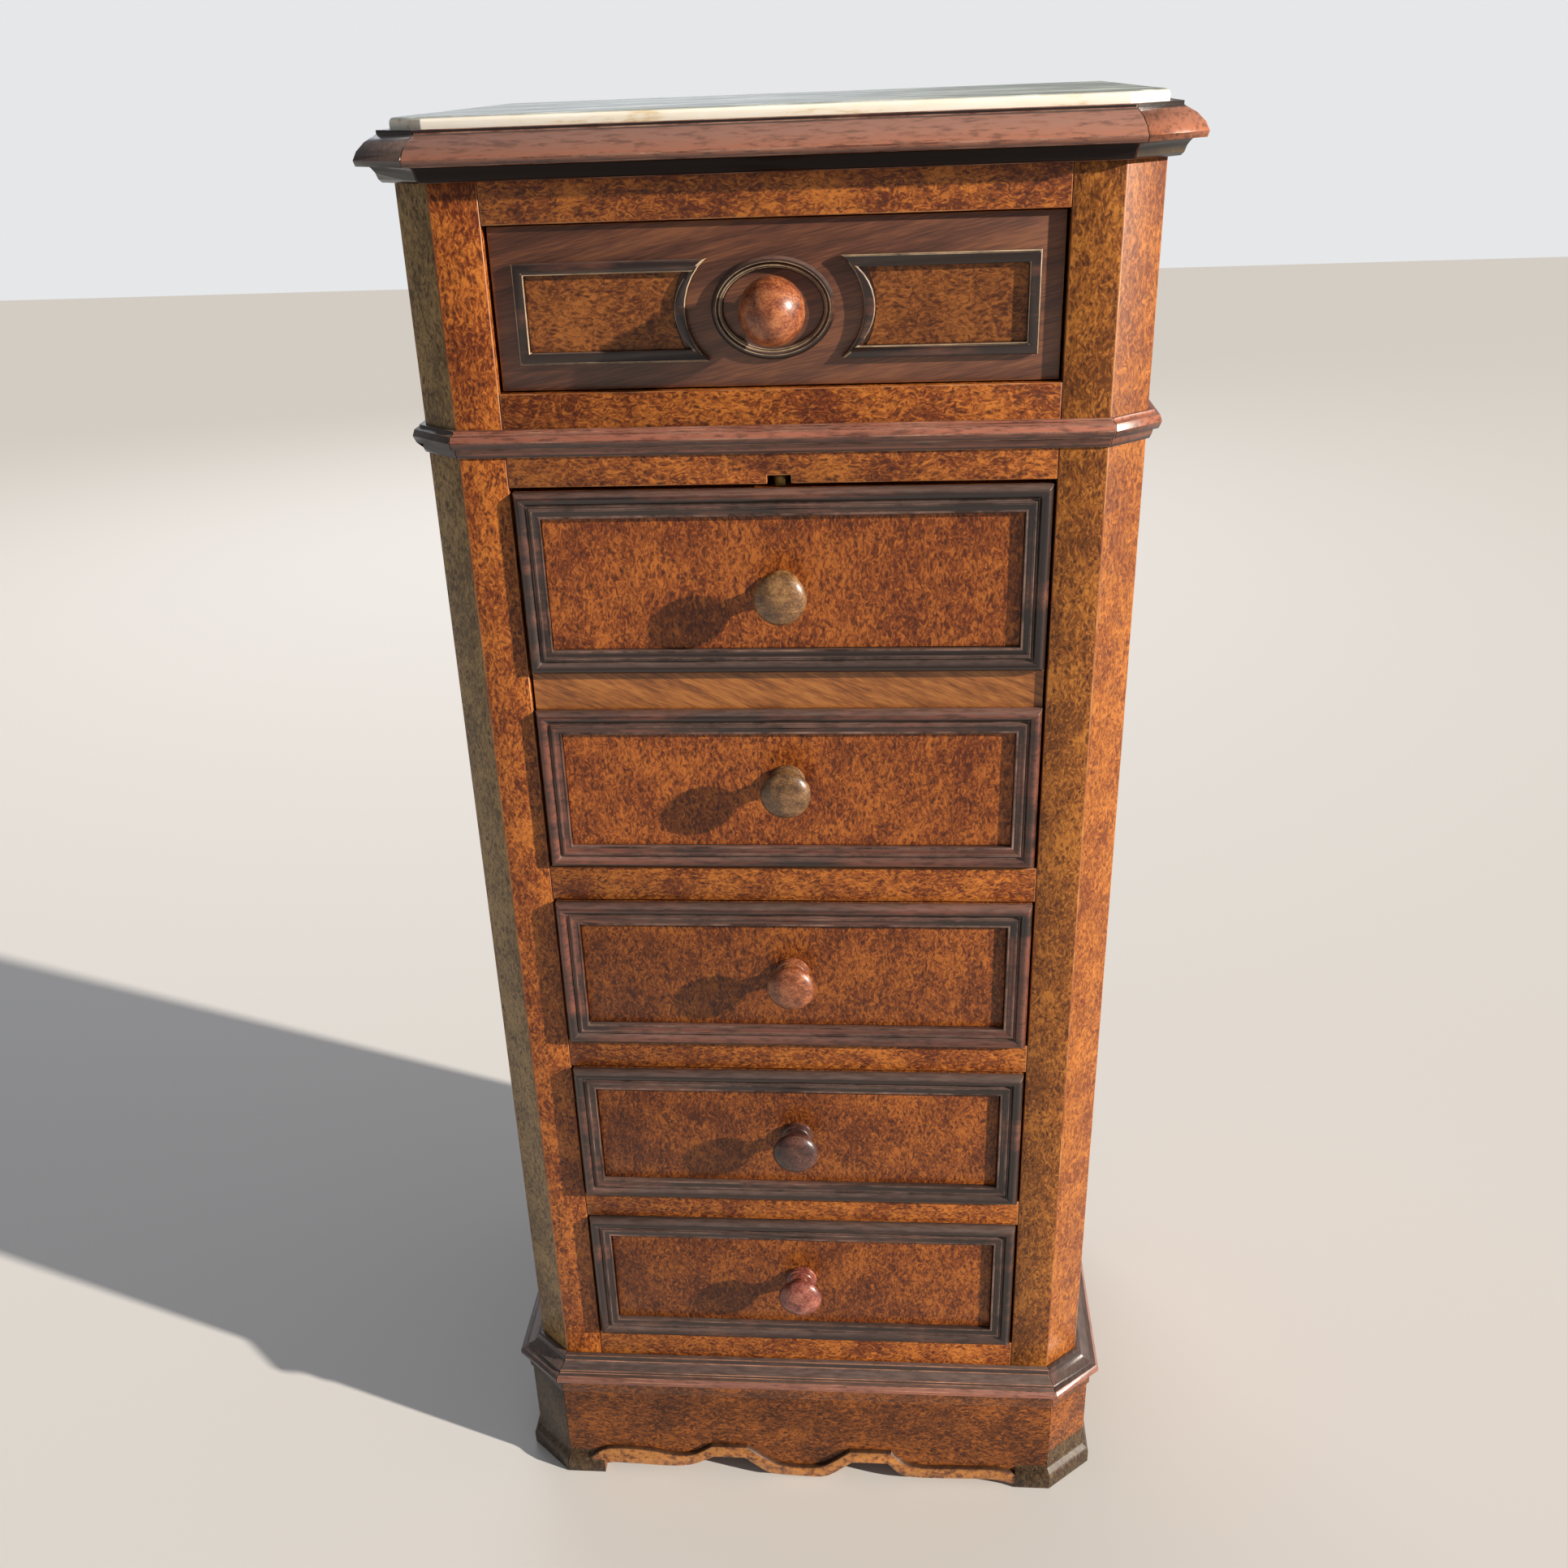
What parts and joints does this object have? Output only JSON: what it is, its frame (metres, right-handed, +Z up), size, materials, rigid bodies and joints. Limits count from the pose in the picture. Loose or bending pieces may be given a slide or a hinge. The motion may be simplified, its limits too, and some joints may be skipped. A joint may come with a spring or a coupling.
{
  "type": "chest of drawers",
  "caption": "Tall bedside chest with canted corners, marble slab, frieze drawer, fall-front flap disguised as drawers, and deep framed burl drawers with ball knobs.",
  "frame": {"origin": "middle of the bounding box in plan, at the floor", "axes": "+Z up, the front faces -Y, +X to the right seen from the front"},
  "size_m": [0.4146, 0.3236, 0.8949],
  "materials": {
    "marble": "polished marble with worn edges",
    "worn_cornice": "worn ebonised hardwood",
    "ebonised": "ebonised hardwood, worn on the arrises",
    "dark_walnut": "polished walnut veneer",
    "plain_wood": "satin",
    "deal": "raw",
    "burl": "polished burl veneer",
    "turned_wood": "polished, worn",
    "brass": "dull"
  },
  "bodies": {
    "carcass": {"marble_top": "marble", "cornice_front": "worn_cornice", "cornice_left": "worn_cornice", "cornice_right": "worn_cornice", "belt_front": "ebonised", "belt_left": "ebonised", "belt_right": "ebonised", "base_moulding_front": "ebonised", "base_moulding_left": "ebonised", "base_moulding_right": "ebonised", "plinth_front": "dark_walnut", "plinth_left": "dark_walnut", "plinth_right": "dark_walnut", "post_left": "dark_walnut", "post_right": "dark_walnut", "side_panel_left": "plain_wood", "side_panel_right": "plain_wood", "back_panel": "deal", "bottom_rail": "dark_walnut", "rail_5": "dark_walnut", "rail_4": "dark_walnut", "rail_3": "dark_walnut", "belt_rail": "dark_walnut", "top_rail": "dark_walnut", "bottom_board": "deal", "dust_board_5": "deal", "dust_board_4": "deal", "compartment_floor": "deal", "frieze_dust_board": "deal", "top_board": "deal"},
    "top_drawer": {"top_drawer_front": "burl", "top_drawer_oval_ring": "ebonised", "top_drawer_frame_left": "ebonised", "top_drawer_frame_right": "ebonised", "top_drawer_knob": "turned_wood", "top_drawer_box": "deal", "top_drawer_bottom": "deal"},
    "flap": {"flap_board": "burl", "flap_lower_frame": "ebonised", "flap_upper_frame": "ebonised", "flap_lower_knob": "turned_wood", "flap_upper_knob": "turned_wood"},
    "catch": {"flap_catch": "brass"},
    "drawer_3": {"drawer_3_front": "burl", "drawer_3_frame": "ebonised", "drawer_3_knob": "turned_wood", "drawer_3_box": "deal", "drawer_3_bottom": "deal"},
    "drawer_4": {"drawer_4_front": "burl", "drawer_4_frame": "ebonised", "drawer_4_knob": "turned_wood", "drawer_4_box": "deal", "drawer_4_bottom": "deal"},
    "drawer_5": {"drawer_5_front": "burl", "drawer_5_frame": "ebonised", "drawer_5_knob": "turned_wood", "drawer_5_box": "deal", "drawer_5_bottom": "deal"}
  },
  "joints": [
    {"name": "top_drawer_slide", "type": "slide", "parent": "carcass", "child": "top_drawer", "axis": [0, -1, 0], "range_m": [0, 0.22]},
    {"name": "flap_hinge", "type": "hinge", "parent": "carcass", "child": "flap", "pos_m": [0, -0.12825, 0.4918], "axis": [1, 0, 0], "range_deg": [0, 90]},
    {"name": "catch_press", "type": "slide", "parent": "flap", "child": "catch", "axis": [0, 0, -1], "range_m": [0, 0.003], "stiffness_N_per_m": 500},
    {"name": "drawer_3_slide", "type": "slide", "parent": "carcass", "child": "drawer_3", "axis": [0, -1, 0], "range_m": [0, 0.22]},
    {"name": "drawer_4_slide", "type": "slide", "parent": "carcass", "child": "drawer_4", "axis": [0, -1, 0], "range_m": [0, 0.22]},
    {"name": "drawer_5_slide", "type": "slide", "parent": "carcass", "child": "drawer_5", "axis": [0, -1, 0], "range_m": [0, 0.22]}
  ]
}
